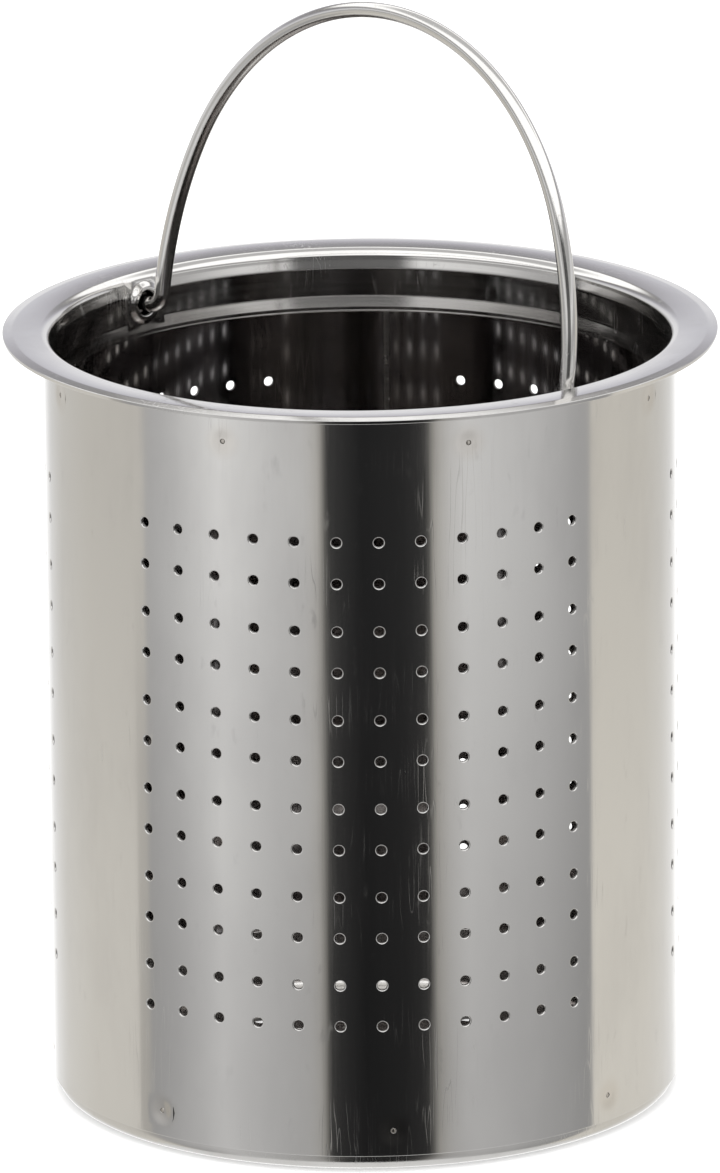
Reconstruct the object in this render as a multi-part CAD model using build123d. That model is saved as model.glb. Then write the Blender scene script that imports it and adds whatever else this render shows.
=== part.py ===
from build123d import *

import os
from math import atan2, cos, degrees, radians, sin

# Basket strainer for a drain bore: a perforated sheet-metal basket with a flared rim and a folding bail.
#
# The object stands on its base pan, with the origin at the centre of the pan's underside and +Z up. The bail turns
# about an axis along X, through its two pivot holes. Every size is in millimetres and every angle in degrees.

# ---- driving dimensions --------------------------------------------------------------------------------------
SHELL_OD = 96.0             # outside of the rolled, perforated shell
SHEET = 0.6                 # thickness of the shell, the collar and the base pan
RIM_HEIGHT = 119.1          # underside of the pan to the crest of the flange

FLANGE_REACH = 5.8          # from the flange's crest out to its edge
FLANGE_DROP = 0.3           # the flange falls this much from its crest to its outer edge
FLANGE_BEND = 1.6           # radius of the bend from collar to flange, on its visible side
FLANGE_EDGE_ROUND = 0.2     # rounding of the sheared outer edge
COLLAR_DEPTH = 9.8          # the collar reaches this far below the flange's crest
SHELL_TOP_GAP = 0.3         # the shell's upper edge stays this far under the flange's bend

BASE_DROP = 2.5             # the pan stands this far out below the shell's lower edge
BASE_WALL = 10.0            # height of the pan's wall
BASE_CORNER = 2.0           # outer radius between the pan's floor and its wall

HOLE_D = 1.5                # every drain hole in the shell
HOLE_GROUPS = 3             # equal panels of holes round the shell
HOLE_COLUMNS = 12           # columns in one panel
HOLE_STEP_DEG = 7.6         # from one column to the next
HOLE_PAIRS = 6              # pairs of rows
PAIR_PITCH = 13.8           # from one pair of rows to the next
ROW_GAP = 6.4               # between the two rows of a pair
FIRST_ROW_BELOW_RIM = 20.7  # crest of the flange to the highest row
GROUP_AZIMUTH = 74.2        # middle of the first panel, from +X

SEAM_AZIMUTH = 130.1        # the shell's welded seam lies in a gap between two panels
SEAM_GAP = 0.8              # space between the sheet's two edges, filled by the weld and ground flush

BASE_HOLE_D = 3.0           # drain holes in the pan's floor
BASE_HOLE_PITCH = 8.0       # from one ring of holes to the next
BASE_HOLE_RINGS = 4         # rings round the centre hole

WELD_COUNT = 8              # spot welds round each joint
WELD_D = 3.2                # diameter of one weld and its dent
WELD_DENT = 0.15            # the electrode leaves a dent this deep in the shell
WELD_SKIN = 0.15            # sheet left untouched behind a weld
RIM_WELD_AZIMUTH = 19.5     # first rim weld, clear of the pivot hole
RIM_WELD_DROP = 6.1         # rim welds' centres below the flange's crest
BASE_WELD_AZIMUTH = 4.8     # first base weld
BASE_WELD_HEIGHT = 6.5      # base welds' centres above the pan's underside

WIRE_D = 2.5                # bail wire
WIRE_END_ROUND = 0.3        # rounding of the wire's cut ends
BAIL_RISE = 52.6            # pivot axis to the wire's centreline at the top of the bail
BAIL_SIDE_R = 65.4          # radius of the long side arcs; the top arc follows from the rest
BAIL_LEG_INSET = 3.6        # each leg's centreline stands this far inside the collar's bore
BAIL_HOOK_R = 2.0           # bend at the foot of each leg
BAIL_LEAN = 8.4             # the bail stands this far over towards +Y at rest
PIVOT_DROP = 4.7            # pivot axis below the flange's crest
PIVOT_HOLE_D = 4.0          # loose hole for the wire
STUB_CLEARANCE = 0.2        # end of the wire to the inside of the shell
BOSS_RISE = 0.8             # the collar is pressed inwards round each pivot hole
BOSS_RIM = 0.5              # flat width of that boss round its hole
BOSS_FLANK = 0.7            # its sloping side, seen from the hole's axis

# ---- sizes that follow ---------------------------------------------------------------------------------------
SHELL_R = SHELL_OD / 2
SHELL_BORE_R = SHELL_R - SHEET
COLLAR_BORE_R = SHELL_BORE_R - SHEET
CREST_R = COLLAR_BORE_R + FLANGE_BEND
FLANGE_R = CREST_R + FLANGE_REACH
SHELL_BOTTOM = BASE_DROP
SHELL_TOP = RIM_HEIGHT - FLANGE_BEND - SHELL_TOP_GAP
COLLAR_BOTTOM = RIM_HEIGHT - COLLAR_DEPTH
PIVOT_Z = RIM_HEIGHT - PIVOT_DROP
RIM_WELD_Z = RIM_HEIGHT - RIM_WELD_DROP
FIRST_ROW_Z = RIM_HEIGHT - FIRST_ROW_BELOW_RIM
BOSS_FACE_R = COLLAR_BORE_R - BOSS_RISE
BOSS_FACE_D = PIVOT_HOLE_D + 2 * BOSS_RIM
LEG_R = COLLAR_BORE_R - BAIL_LEG_INSET
STUB_END_R = SHELL_BORE_R - STUB_CLEARANCE
CUT_OVERRUN = 1.0


# ---- helpers -------------------------------------------------------------------------------------------------
def radial_plane(azimuth, z):
    """A plane on the Z axis whose normal points outwards at this azimuth."""
    direction = (cos(radians(azimuth)), sin(radians(azimuth)), 0)
    return Plane(origin=(0, 0, z), x_dir=(0, 0, 1), z_dir=direction)


def radial_rod(azimuth, z, diameter, inner, outer):
    """A round bar that points outwards, from one radius to another."""
    rod = Cylinder(diameter / 2, outer - inner, align=(Align.CENTER, Align.CENTER, Align.MIN))
    return radial_plane(azimuth, z) * Pos(0, 0, inner) * rod


def even_azimuths(first, count):
    """Equal steps round the full circle."""
    return [first + step * 360 / count for step in range(count)]


def write(shape, node):
    """One STEP file for one named piece."""
    shape.label = node
    export_step(shape, f"parts/{node}.step")
    print(node, "solids", len(shape.solids()), "volume", round(shape.volume, 1))


# ---- spot welds ----------------------------------------------------------------------------------------------
def weld_sites():
    """Azimuth and height of every spot weld, in two rings."""
    rim = [(azimuth, RIM_WELD_Z) for azimuth in even_azimuths(RIM_WELD_AZIMUTH, WELD_COUNT)]
    base = [(azimuth, BASE_WELD_HEIGHT) for azimuth in even_azimuths(BASE_WELD_AZIMUTH, WELD_COUNT)]
    return rim, base


def weld_socket(azimuth, z):
    """The space a weld takes out of the shell and of the sheet behind it, dent included."""
    return radial_rod(azimuth, z, WELD_D, COLLAR_BORE_R + WELD_SKIN, SHELL_R + CUT_OVERRUN)


def weld_nugget(azimuth, z):
    """The melted disc itself, which ends at the floor of the dent."""
    return radial_rod(azimuth, z, WELD_D, COLLAR_BORE_R + WELD_SKIN, SHELL_R - WELD_DENT)


def spot_welds(sites):
    """One ring of welds, each a solid of its own."""
    return Compound(children=[weld_nugget(azimuth, z) for azimuth, z in sites])


# ---- perforated shell ----------------------------------------------------------------------------------------
def shell_hole_rows():
    """Heights of the twelve rows, in close pairs."""
    return [FIRST_ROW_Z - pair * PAIR_PITCH - row * ROW_GAP for pair in range(HOLE_PAIRS) for row in range(2)]


def shell_hole_azimuths():
    """Azimuths of all the columns, panel after panel."""
    middle = (HOLE_COLUMNS - 1) / 2
    columns = [(column - middle) * HOLE_STEP_DEG for column in range(HOLE_COLUMNS)]
    return [group + column for group in even_azimuths(GROUP_AZIMUTH, HOLE_GROUPS) for column in columns]


def seam_slot(width):
    """A radial slab along the seam, as wide as the space between the sheet's edges."""
    length = SHELL_R + 2 * CUT_OVERRUN
    slab = Box(length, width, SHELL_TOP - SHELL_BOTTOM, align=(Align.MIN, Align.CENTER, Align.MIN))
    return Rot(0, 0, SEAM_AZIMUTH) * Pos(0, 0, SHELL_BOTTOM) * slab


def ring(inner, outer, bottom, top):
    """A plain tube on the Z axis."""
    up = (Align.CENTER, Align.CENTER, Align.MIN)
    return Pos(0, 0, bottom) * (Cylinder(outer, top - bottom, align=up) - Cylinder(inner, top - bottom, align=up))


def perforated_shell():
    """The rolled sheet with its three panels of holes, its seam left open and its weld dents."""
    shell = ring(SHELL_BORE_R, SHELL_R, SHELL_BOTTOM, SHELL_TOP) - seam_slot(SEAM_GAP)
    drills = [
        radial_rod(azimuth, z, HOLE_D, SHELL_BORE_R - CUT_OVERRUN, SHELL_R + CUT_OVERRUN)
        for azimuth in shell_hole_azimuths()
        for z in shell_hole_rows()
    ]
    rim, base = weld_sites()
    sockets = [weld_socket(azimuth, z) for azimuth, z in rim + base]
    return shell - (drills + sockets)


def shell_seam_weld():
    """The bead that fills the seam, ground flush with the sheet on both sides."""
    return ring(SHELL_BORE_R, SHELL_R, SHELL_BOTTOM, SHELL_TOP) & seam_slot(SEAM_GAP)


# ---- rim collar ----------------------------------------------------------------------------------------------
def collar_section():
    """Half section of the collar and its flared flange, one sheet thick."""
    edge_top = RIM_HEIGHT - FLANGE_DROP
    bend_centre_z = RIM_HEIGHT - FLANGE_BEND
    under_r = FLANGE_BEND - SHEET
    knee = FLANGE_BEND * sin(radians(45))
    under_knee = under_r * sin(radians(45))
    bore = Line((COLLAR_BORE_R, COLLAR_BOTTOM), (COLLAR_BORE_R, bend_centre_z))
    bend = ThreePointArc(bore @ 1, (CREST_R - knee, bend_centre_z + knee), (CREST_R, RIM_HEIGHT))
    top = TangentArc(bend @ 1, (FLANGE_R, edge_top), tangent=(1, 0))
    edge = Line(top @ 1, (FLANGE_R, edge_top - SHEET))
    bottom = TangentArc((CREST_R, RIM_HEIGHT - SHEET), edge @ 1, tangent=(1, 0))
    under = ThreePointArc(
        bottom @ 0, (CREST_R - under_knee, bend_centre_z + under_knee), (SHELL_BORE_R, bend_centre_z)
    )
    back = Line(under @ 1, (SHELL_BORE_R, COLLAR_BOTTOM))
    foot = Line(back @ 1, bore @ 0)
    section = make_face([bore, bend, top, edge, bottom, under, back, foot])
    edge_corners = section.vertices().sort_by(Axis.X)[-2:]
    return Plane.XZ * fillet(edge_corners, FLANGE_EDGE_ROUND)


def boss_cone(azimuth, shift, inner_shrink, end):
    """The pressed boss, or with shift and inner_shrink the hollow behind it, out to one radius."""
    face = BOSS_FACE_R + shift
    depth = end - face
    small_r = BOSS_FACE_D / 2 - inner_shrink
    cone = Cone(small_r, small_r + depth * BOSS_FLANK / BOSS_RISE, depth,
                align=(Align.CENTER, Align.CENTER, Align.MIN))
    return radial_plane(azimuth, PIVOT_Z) * Pos(0, 0, face) * cone


def rim_collar():
    """The flange and collar, with a pressed boss and a loose hole for each end of the bail."""
    collar = revolve(collar_section(), Axis.Z)
    for azimuth in (0, 180):
        collar += boss_cone(azimuth, 0, 0, COLLAR_BORE_R + SHEET / 2)
    for azimuth in (0, 180):
        hollow = boss_cone(azimuth, SHEET, SHEET / 2, SHELL_BORE_R + SHEET / 4)
        hole = radial_rod(azimuth, PIVOT_Z, PIVOT_HOLE_D, BOSS_FACE_R - CUT_OVERRUN, SHELL_BORE_R)
        collar -= [hollow, hole]
    rim, _ = weld_sites()
    return collar - [weld_socket(azimuth, z) for azimuth, z in rim]


# ---- base pan ------------------------------------------------------------------------------------------------
def base_section():
    """Half section of the pan: a flat floor, a round corner and a wall inside the shell."""
    corner = BASE_CORNER
    outer = SHELL_BORE_R
    inner = SHELL_BORE_R - SHEET
    bend = corner * sin(radians(45))
    bend_in = (corner - SHEET) * sin(radians(45))
    floor = Line((0, 0), (outer - corner, 0))
    round_out = ThreePointArc(floor @ 1, (outer - corner + bend, corner - bend), (outer, corner))
    wall = Line(round_out @ 1, (outer, BASE_WALL))
    lip = Line(wall @ 1, (inner, BASE_WALL))
    wall_in = Line(lip @ 1, (inner, corner))
    round_in = ThreePointArc(wall_in @ 1, (outer - corner + bend_in, corner - bend_in), (outer - corner, SHEET))
    floor_in = Line(round_in @ 1, (0, SHEET))
    centre = Line(floor_in @ 1, (0, 0))
    return Plane.XZ * make_face([floor, round_out, wall, lip, wall_in, round_in, floor_in, centre])


def base_holes():
    """One hole at the centre and rings of six, twelve, eighteen and so on round it."""
    places = [Pos(0, 0, 0)]
    for ring_number in range(1, BASE_HOLE_RINGS + 1):
        places += PolarLocations(ring_number * BASE_HOLE_PITCH, 6 * ring_number).locations
    drill = Cylinder(BASE_HOLE_D / 2, 4 * SHEET)
    return [place * drill for place in places]


def base_pan():
    """The dished base with its drain holes and the sockets of its welds."""
    pan = revolve(base_section(), Axis.Z)
    _, base = weld_sites()
    return pan - (base_holes() + [weld_socket(azimuth, z) for azimuth, z in base])


# ---- bail ----------------------------------------------------------------------------------------------------
def bail_line():
    """The wire's centreline in its own plane, X across and Y up from the pivot axis, from foot to foot."""
    side_x = LEG_R - BAIL_SIDE_R
    side_y = BAIL_HOOK_R
    # the top arc is tangent to both side arcs, which start straight up above the hooks
    crown_r = (BAIL_SIDE_R**2 - side_x**2 - (BAIL_RISE - side_y) ** 2) / (2 * (BAIL_SIDE_R + side_y - BAIL_RISE))
    crown_y = BAIL_RISE - crown_r
    join = degrees(atan2(crown_y - side_y, -side_x))
    hook_x = LEG_R + BAIL_HOOK_R
    stub = Line((STUB_END_R, 0), (hook_x, 0))
    hook = CenterArc((hook_x, BAIL_HOOK_R), BAIL_HOOK_R, 270, -90)
    side = CenterArc((side_x, side_y), BAIL_SIDE_R, 0, join)
    crown = CenterArc((0, crown_y), crown_r, join, 180 - 2 * join)
    far_side = CenterArc((-side_x, side_y), BAIL_SIDE_R, 180 - join, join)
    far_hook = CenterArc((-hook_x, BAIL_HOOK_R), BAIL_HOOK_R, 0, -90)
    far_stub = Line((-hook_x, 0), (-STUB_END_R, 0))
    return Wire([stub, hook, side, crown, far_side, far_hook, far_stub])


def bail_handle():
    """The bent wire, leaning at rest, with its two ends in the collar's holes."""
    line = bail_line()
    start = Plane(origin=line @ 0, z_dir=line % 0)
    wire = sweep(start * Circle(WIRE_D / 2), path=line)
    ends = wire.faces().sort_by(Axis.X)
    wire = fillet([edge for face in (ends[0], ends[-1]) for edge in face.edges()], WIRE_END_ROUND)
    upright = Rot(90, 0, 0) * wire
    return Pos(0, 0, PIVOT_Z) * Rot(-BAIL_LEAN, 0, 0) * upright


# ---- the seven pieces ----------------------------------------------------------------------------------------
def main():
    os.makedirs("parts", exist_ok=True)
    rim, base = weld_sites()
    write(perforated_shell(), "perforated_shell")
    write(shell_seam_weld(), "shell_seam_weld")
    write(rim_collar(), "rim_collar")
    write(spot_welds(rim), "rim_spot_welds")
    write(base_pan(), "base_pan")
    write(spot_welds(base), "base_spot_welds")
    write(bail_handle(), "bail_handle")


main()
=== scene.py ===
# %% [markdown]
# # A basket strainer for a drain
# A basket strainer hangs in the mouth of a drain. Water runs through its small holes and the waste stays
# inside, until someone lifts the basket out by its wire bail. Five metal parts make it: a perforated sheet
# rolled into a tube, the weld that closes the tube, a spun rim, a dished base pan, and one bent wire. Two
# rings of spot welds hold the sheet parts together. The main sizes are those of the CAD frame, so the first
# step loads that frame.

import math

import bpy
import numpy as np
from mathutils import Matrix, Vector
from mathutils.geometry import delaunay_2d_cdt


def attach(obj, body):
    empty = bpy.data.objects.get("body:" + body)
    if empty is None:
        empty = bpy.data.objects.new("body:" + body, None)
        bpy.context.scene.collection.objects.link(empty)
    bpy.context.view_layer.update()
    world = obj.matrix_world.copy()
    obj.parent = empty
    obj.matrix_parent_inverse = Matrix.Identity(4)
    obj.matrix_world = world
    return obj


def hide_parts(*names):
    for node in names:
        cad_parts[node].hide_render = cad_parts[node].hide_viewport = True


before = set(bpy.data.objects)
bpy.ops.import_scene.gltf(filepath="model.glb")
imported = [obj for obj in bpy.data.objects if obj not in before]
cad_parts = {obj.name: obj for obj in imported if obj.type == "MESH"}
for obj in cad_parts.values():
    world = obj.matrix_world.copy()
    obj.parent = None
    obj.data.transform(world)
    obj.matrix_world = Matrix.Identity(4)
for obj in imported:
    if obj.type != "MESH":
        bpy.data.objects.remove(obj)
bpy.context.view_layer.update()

# %% [markdown]
# ## The sizes of the basket
# Every sheet part is a round part about the Z axis, so radii and heights describe almost all of it. They
# are kept in millimetres, because sheet-metal sizes are easier to read that way, and only the finished mesh
# is in metres.

# %% Sizes
MM = 0.001
SHEET = 0.6
SHELL_R = 48.0
SHELL_BORE_R = SHELL_R - SHEET
COLLAR_BORE_R = SHELL_BORE_R - SHEET
FLANGE_R = 54.2
RIM_Z = 119.1
SHELL_BOTTOM_Z = 2.5
SHELL_TOP_Z = 117.2
PIVOT_Z = 114.4
EDGE_ROLL = 0.12

# %% [markdown]
# ## A draft for meshes
# A mirror-bright part shows every fault of its mesh, because a reflection follows the surface normals and
# not the outline. So each part is drafted point by point, and each point carries the exact normal of the
# real surface. The draft keeps arrays of points, normals and faces until the part is complete.


# %% Mesh draft
class Draft:
    """Points in millimetres, their normals and their faces, for one part."""

    def __init__(self):
        self.points = []
        self.normals = []
        self.faces = []
        self.finishes = []
        self.count = 0

    def add(self, points, normals):
        """Stores points with their normals, and returns their numbers in the same layout."""
        points = np.asarray(points, float)
        normals = np.broadcast_to(np.asarray(normals, float), points.shape)
        self.points.append(points.reshape(-1, 3))
        self.normals.append(normals.reshape(-1, 3))
        numbers = np.arange(self.count, self.count + points.size // 3).reshape(points.shape[:-1])
        self.count += numbers.size
        return numbers

    def fill(self, faces, flip=False, finish=0):
        """Stores faces. finish is the number of the material they take."""
        faces = np.asarray(faces)
        self.faces += (faces[:, ::-1] if flip else faces).tolist()
        self.finishes += [finish] * len(faces)

    def strip(self, near, far, closed=False, flip=False, finish=0):
        """Joins two rows of points with quads."""
        if closed:
            near = np.append(near, near[0])
            far = np.append(far, far[0])
        self.fill(np.stack([near[:-1], near[1:], far[1:], far[:-1]], axis=1), flip, finish)

    def rings(self, rows, closed=False, flip=False, finish=0):
        """Joins each row to the next one."""
        for near, far in zip(rows[:-1], rows[1:]):
            self.strip(near, far, closed, flip, finish)

    def fan(self, centre, row, flip=False):
        """Closes a round row with triangles to one centre point."""
        ahead = np.roll(row, -1)
        self.fill(np.stack([row, ahead, np.full_like(row, centre)], axis=1), flip)


def unit(vectors):
    """Vectors of length one."""
    return vectors / np.maximum(np.linalg.norm(vectors, axis=-1, keepdims=True), 1e-12)


def round_axis(radius, azimuth, height):
    """Places at a radius, an azimuth and a height."""
    return np.stack([radius * np.cos(azimuth), radius * np.sin(azimuth), height], axis=-1)


def full_circle(count):
    """Evenly spaced angles, once round."""
    return np.linspace(0, 2 * math.pi, count, endpoint=False)


def make_piece(draft, name, body, slot, node, *materials):
    """Turns a draft into an object that rides on a body and stands for its CAD node."""
    mesh = bpy.data.meshes.new(name)
    points = np.concatenate(draft.points) * MM
    mesh.from_pydata(points.tolist(), [], draft.faces)
    mesh.polygons.foreach_set("use_smooth", np.ones(len(mesh.polygons), bool))
    mesh.normals_split_custom_set_from_vertices(np.concatenate(draft.normals).tolist())
    for material in materials:
        mesh.materials.append(material)
    mesh.polygons.foreach_set("material_index", draft.finishes)
    piece = bpy.data.objects.new(name, mesh)
    bpy.context.scene.collection.objects.link(piece)
    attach(piece, body)
    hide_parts(node)
    print(name, "faces", len(mesh.polygons))
    return piece


# %% [markdown]
# ## How sheet metal is described
# A sheet part is one surface with a thickness. Its face is given by a rule that turns an azimuth round the
# axis and a station along the sheet into a place in space. The normals come from the slope of that same
# rule, so a dent added to the rule shades correctly at once. The other face lies one thickness behind,
# along the normal.

# %% Faces, normals and ring patches
STEP = 1e-3
# Material number for the walls of cut holes, whose dark colour is painted shade inside the holes
CUT_FINISH = 1


def face_frame(face, azimuth, station, side):
    """Place, normal and upward tangent of a sheet's front face."""
    azimuth, station = np.broadcast_arrays(np.asarray(azimuth, float), np.asarray(station, float))
    turn = STEP / SHELL_R
    around = face(azimuth + turn, station) - face(azimuth - turn, station)
    along = face(azimuth, station + STEP) - face(azimuth, station - STEP)
    return face(azimuth, station), side * unit(np.cross(around, along)), unit(along)


def ring_round(face, side, centre, angles, radius, depth, lean):
    """One ring of points round a centre on a sheet. lean turns the normal from the front face, 0, over the
    edge of a hole, 90, to the back face, 180."""
    def spots(size):
        return centre[0] + size * np.cos(angles) / SHELL_R, centre[1] + size * np.sin(angles)

    place, normal, _ = face_frame(face, *spots(radius), side)
    outward = face(*spots(radius + STEP)) - place
    outward = unit(outward - normal * np.sum(outward * normal, axis=-1, keepdims=True))
    lean = math.radians(lean)
    return place - depth * normal, math.cos(lean) * normal - math.sin(lean) * outward


def punched_hole(radius, roll, burr):
    """Rings of a punched hole: an edge rolled over by the punch, a straight wall, a crisp far edge."""
    front = [(radius + roll * (1 - math.sin(math.radians(t))), roll * (1 - math.cos(math.radians(t))), t)
             for t in (0, 30, 60, 90)]
    return front + [(radius, SHEET - burr, 90), (radius + burr, SHEET, 180)]


def lip_rows(roll):
    """How far out, how deep and at what lean the points of a sheet's rounded edge lie."""
    front = [(roll * math.sin(math.radians(t)), roll * (1 - math.cos(math.radians(t))), t)
             for t in (30, 60, 90)]
    back = [(out, SHEET - deep, 180 - t) for out, deep, t in reversed(front)]
    return front + back


# %% [markdown]
# ## Laying a sheet on a net
# The sheet is drawn on a net of azimuth lines and stations, front and back. Where a hole or a dent goes, a
# window is left open in the net, and rings of points lead from the window's border to the hole. This keeps
# the holes round without a dense net everywhere, which is the usual trouble when many holes are cut with
# booleans.


# %% Sheet layer
def window_border(grid, window):
    """The net's points round a window, anticlockwise, with their lines and stations."""
    i0, i1, j0, j1 = window
    steps = [(i, j0) for i in range(i0, i1)] + [(i1, j) for j in range(j0, j1)]
    steps += [(i, j1) for i in range(i1, i0, -1)] + [(i0, j) for j in range(j1, j0, -1)]
    rows = np.array(steps)
    return grid[rows[:, 0], rows[:, 1]], rows


def lay_sheet(draft, face, side, lines, stations, windows, closed, back_finish=0):
    """Both faces of a sheet on its net, with every window filled by its rings. Returns the two grids."""
    flip = side < 0
    azimuth, station = np.meshgrid(lines, stations, indexing="ij")
    place, normal, _ = face_frame(face, azimuth, station, side)
    front = draft.add(place, normal)
    back = draft.add(place - SHEET * normal, -normal)
    if closed:
        front = np.concatenate([front, front[:1]])
        back = np.concatenate([back, back[:1]])
        lines = np.append(lines, lines[0] + 2 * math.pi)
    open_cells = np.ones((front.shape[0] - 1, front.shape[1] - 1), bool)
    for (i0, i1, j0, j1), _, _ in windows:
        open_cells[i0:i1, j0:j1] = False
    for grid, turned, finish in ((front, flip, 0), (back, not flip, back_finish)):
        cells = np.stack([grid[:-1, :-1], grid[1:, :-1], grid[1:, 1:], grid[:-1, 1:]], axis=-1)[open_cells]
        draft.fill(cells, turned, finish)
    for window, centre, rings in windows:
        border, steps = window_border(front, window)
        across = (lines[steps[:, 0]] - centre[0]) * SHELL_R
        angles = np.arctan2(stations[steps[:, 1]] - centre[1], across)
        rows = [border]
        rows += [draft.add(*ring_round(face, side, centre, angles, *ring)) for ring in rings]
        wall = [ring[2] for ring in rings].index(90)
        draft.rings(rows[:wall + 2], closed=True, flip=flip)
        draft.rings(rows[wall + 1:], closed=True, flip=flip, finish=CUT_FINISH)
        draft.strip(rows[-1], window_border(back, window)[0], closed=True, flip=flip, finish=back_finish)
    return front, back


def round_edge(draft, face, side, lines, station, front_row, back_row, direction, roll, closed):
    """The rounded edge that closes a sheet at its first (direction -1) or last (direction 1) station."""
    place, normal, along = face_frame(face, lines, station, side)
    rows = [front_row[:len(lines)]]
    for out, deep, lean in lip_rows(roll):
        turn = math.radians(lean)
        edge = place + direction * along * out - normal * deep
        rows.append(draft.add(edge, math.cos(turn) * normal + math.sin(turn) * direction * along))
    rows.append(back_row[:len(lines)])
    draft.rings(rows, closed=closed, flip=(side < 0) != (direction < 0))


def index_near(values, wanted):
    """Number of the net line nearest to a value."""
    return int(np.argmin(np.abs(np.asarray(values) - wanted)))


# %% [markdown]
# ## Spot welds
# Eight spot welds join the shell to the rim and eight more join it to the base pan. A spot weld is made by
# two copper electrodes that squeeze the sheets while current melts a small disc between them. They leave a
# shallow round dent, wider than the weld, with a fine mark in its middle. The dent is added to the rule of
# the shell's face, and the melted metal that comes to the surface is a small button of its own.

# %% Weld places and dents
WELDS_PER_RING = 8
RIM_DENT = 0.07
RIM_DENT_R = 2.3
BASE_DENT = 0.16
BASE_DENT_R = 2.75
WELD_DISC_R = 0.36


def weld_ring(first, height):
    """Azimuth and height of every weld of a ring; first is the azimuth of the first one in degrees."""
    return [(math.radians(first + 45 * number), height) for number in range(WELDS_PER_RING)]


RIM_WELD_Z = 113.0
BASE_WELD_Z = 6.5
RIM_WELDS = weld_ring(first=19.5, height=RIM_WELD_Z)
BASE_WELDS = weld_ring(first=4.8, height=BASE_WELD_Z)


def smooth_drop(distance, inner, outer):
    """One inside the inner radius, zero outside the outer radius, smooth between."""
    t = np.clip((outer - distance) / (outer - inner), 0, 1)
    return t * t * (3 - 2 * t)


def nearest_weld(azimuth, station, welds):
    """Distance along the sheet from the nearest weld of one ring."""
    pitch = 2 * math.pi / WELDS_PER_RING
    across = (np.mod(azimuth - welds[0][0] + pitch / 2, pitch) - pitch / 2) * SHELL_R
    return np.hypot(across, station - welds[0][1])


def shell_face(azimuth, station):
    """Outside of the rolled shell: a plain cylinder, dented at each spot weld."""
    dent = RIM_DENT * smooth_drop(nearest_weld(azimuth, station, RIM_WELDS), 0.0, RIM_DENT_R)
    dent = dent + BASE_DENT * smooth_drop(nearest_weld(azimuth, station, BASE_WELDS), 0.2, BASE_DENT_R)
    return round_axis(SHELL_R - dent, azimuth, station)


def weld_opening():
    """Rings of the dent in the shell and of the opening that the melted disc fills."""
    dented = [(radius, 0, 0) for radius in (2.5, 2.2, 1.9, 1.6, 1.3, 1.0, 0.75, 0.55)]
    return dented + punched_hole(WELD_DISC_R + 0.02, 0.06, 0.05)


print("spot welds:", len(RIM_WELDS) + len(BASE_WELDS))

# %% [markdown]
# ## The perforated shell
# The shell starts as a flat sheet with three panels of small holes, punched in close pairs of rows. It is
# rolled into a tube and its edges are butt-welded in one of the plain gaps. The net's lines are chosen so
# that six of them span one column of holes, and the holes then sit in windows of the same size all round.

# %% Shell net
HOLE_R = 0.75
HOLE_COLUMNS = 12
HOLE_STEP = math.radians(7.6)
PANEL_MIDDLES = [math.radians(74.2 + 120 * number) for number in range(3)]
TOP_ROW_Z = 98.4
PAIR_PITCH = 13.8
ROW_GAP = 6.4
HOLE_ROWS = [TOP_ROW_Z - PAIR_PITCH * pair - ROW_GAP * row for pair in range(6) for row in range(2)]
SEAM_AZIMUTH = math.radians(130.1)
SEAM_WIDTH = 0.8
CELLS = 6
PANEL_MARGIN = 3.7
WINDOW_HALF_HEIGHT = 2.6
WINDOW_HALF_WIDTH = 2.75


def panel_lines():
    """Azimuth lines from the seam, once round, and the first line of every column of holes."""
    half_seam = SEAM_WIDTH / 2 / SHELL_R
    start = SEAM_AZIMUTH + half_seam
    end = SEAM_AZIMUTH - half_seam + 2 * math.pi
    lines = [start]
    columns = []
    for middle in PANEL_MIDDLES[1:] + [PANEL_MIDDLES[0] + 2 * math.pi]:
        first = middle - HOLE_COLUMNS / 2 * HOLE_STEP
        gap = max(1, round((first - lines[-1]) / HOLE_STEP * CELLS))
        lines += list(np.linspace(lines[-1], first, gap + 1)[1:])
        for column in range(HOLE_COLUMNS):
            columns.append((len(lines) - 1, first + (column + 0.5) * HOLE_STEP))
            lines += list(np.linspace(lines[-1], first + (column + 1) * HOLE_STEP, CELLS + 1)[1:])
    gap = max(1, round((end - lines[-1]) / HOLE_STEP * CELLS))
    lines += list(np.linspace(lines[-1], end, gap + 1)[1:])
    return np.array(lines), columns


def weld_stations(height):
    """Stations across the windows of one ring of welds."""
    return list(np.linspace(height - WINDOW_HALF_HEIGHT, height + WINDOW_HALF_HEIGHT, CELLS + 1))


def row_stations():
    """Stations from the lower edge to the upper edge, and the first station of every row of holes."""
    rows = sorted(HOLE_ROWS)
    middles = [(low + high) / 2 for low, high in zip(rows[:-1], rows[1:])]
    borders = [rows[0] - PANEL_MARGIN] + middles + [rows[-1] + PANEL_MARGIN]
    stations = [SHELL_BOTTOM_Z + EDGE_ROLL] + weld_stations(BASE_WELD_Z) + [14.0, borders[0]]
    starts = []
    for low, high, row in zip(borders[:-1], borders[1:], rows):
        starts.append((len(stations) - 1, row))
        stations += list(np.linspace(low, high, CELLS + 1)[1:])
    stations += [106.5] + weld_stations(RIM_WELD_Z) + [SHELL_TOP_Z - EDGE_ROLL]
    return np.array(stations), starts


def weld_windows(lines, stations, welds):
    """Windows of the net round each weld of a ring."""
    windows = []
    for azimuth, height in welds:
        centre = azimuth
        while centre < lines[0]:
            centre += 2 * math.pi
        i0 = index_near(lines, centre - WINDOW_HALF_WIDTH / SHELL_R)
        i1 = index_near(lines, centre + WINDOW_HALF_WIDTH / SHELL_R)
        j0 = index_near(stations, height - WINDOW_HALF_HEIGHT)
        j1 = index_near(stations, height + WINDOW_HALF_HEIGHT)
        windows.append(((i0, i1, j0, j1), (centre, height), weld_opening()))
    return windows


shell_lines, hole_columns = panel_lines()
shell_stations, hole_rows = row_stations()
print("net:", len(shell_lines), "lines and", len(shell_stations), "stations;",
      len(hole_columns) * len(hole_rows), "holes")


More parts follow.
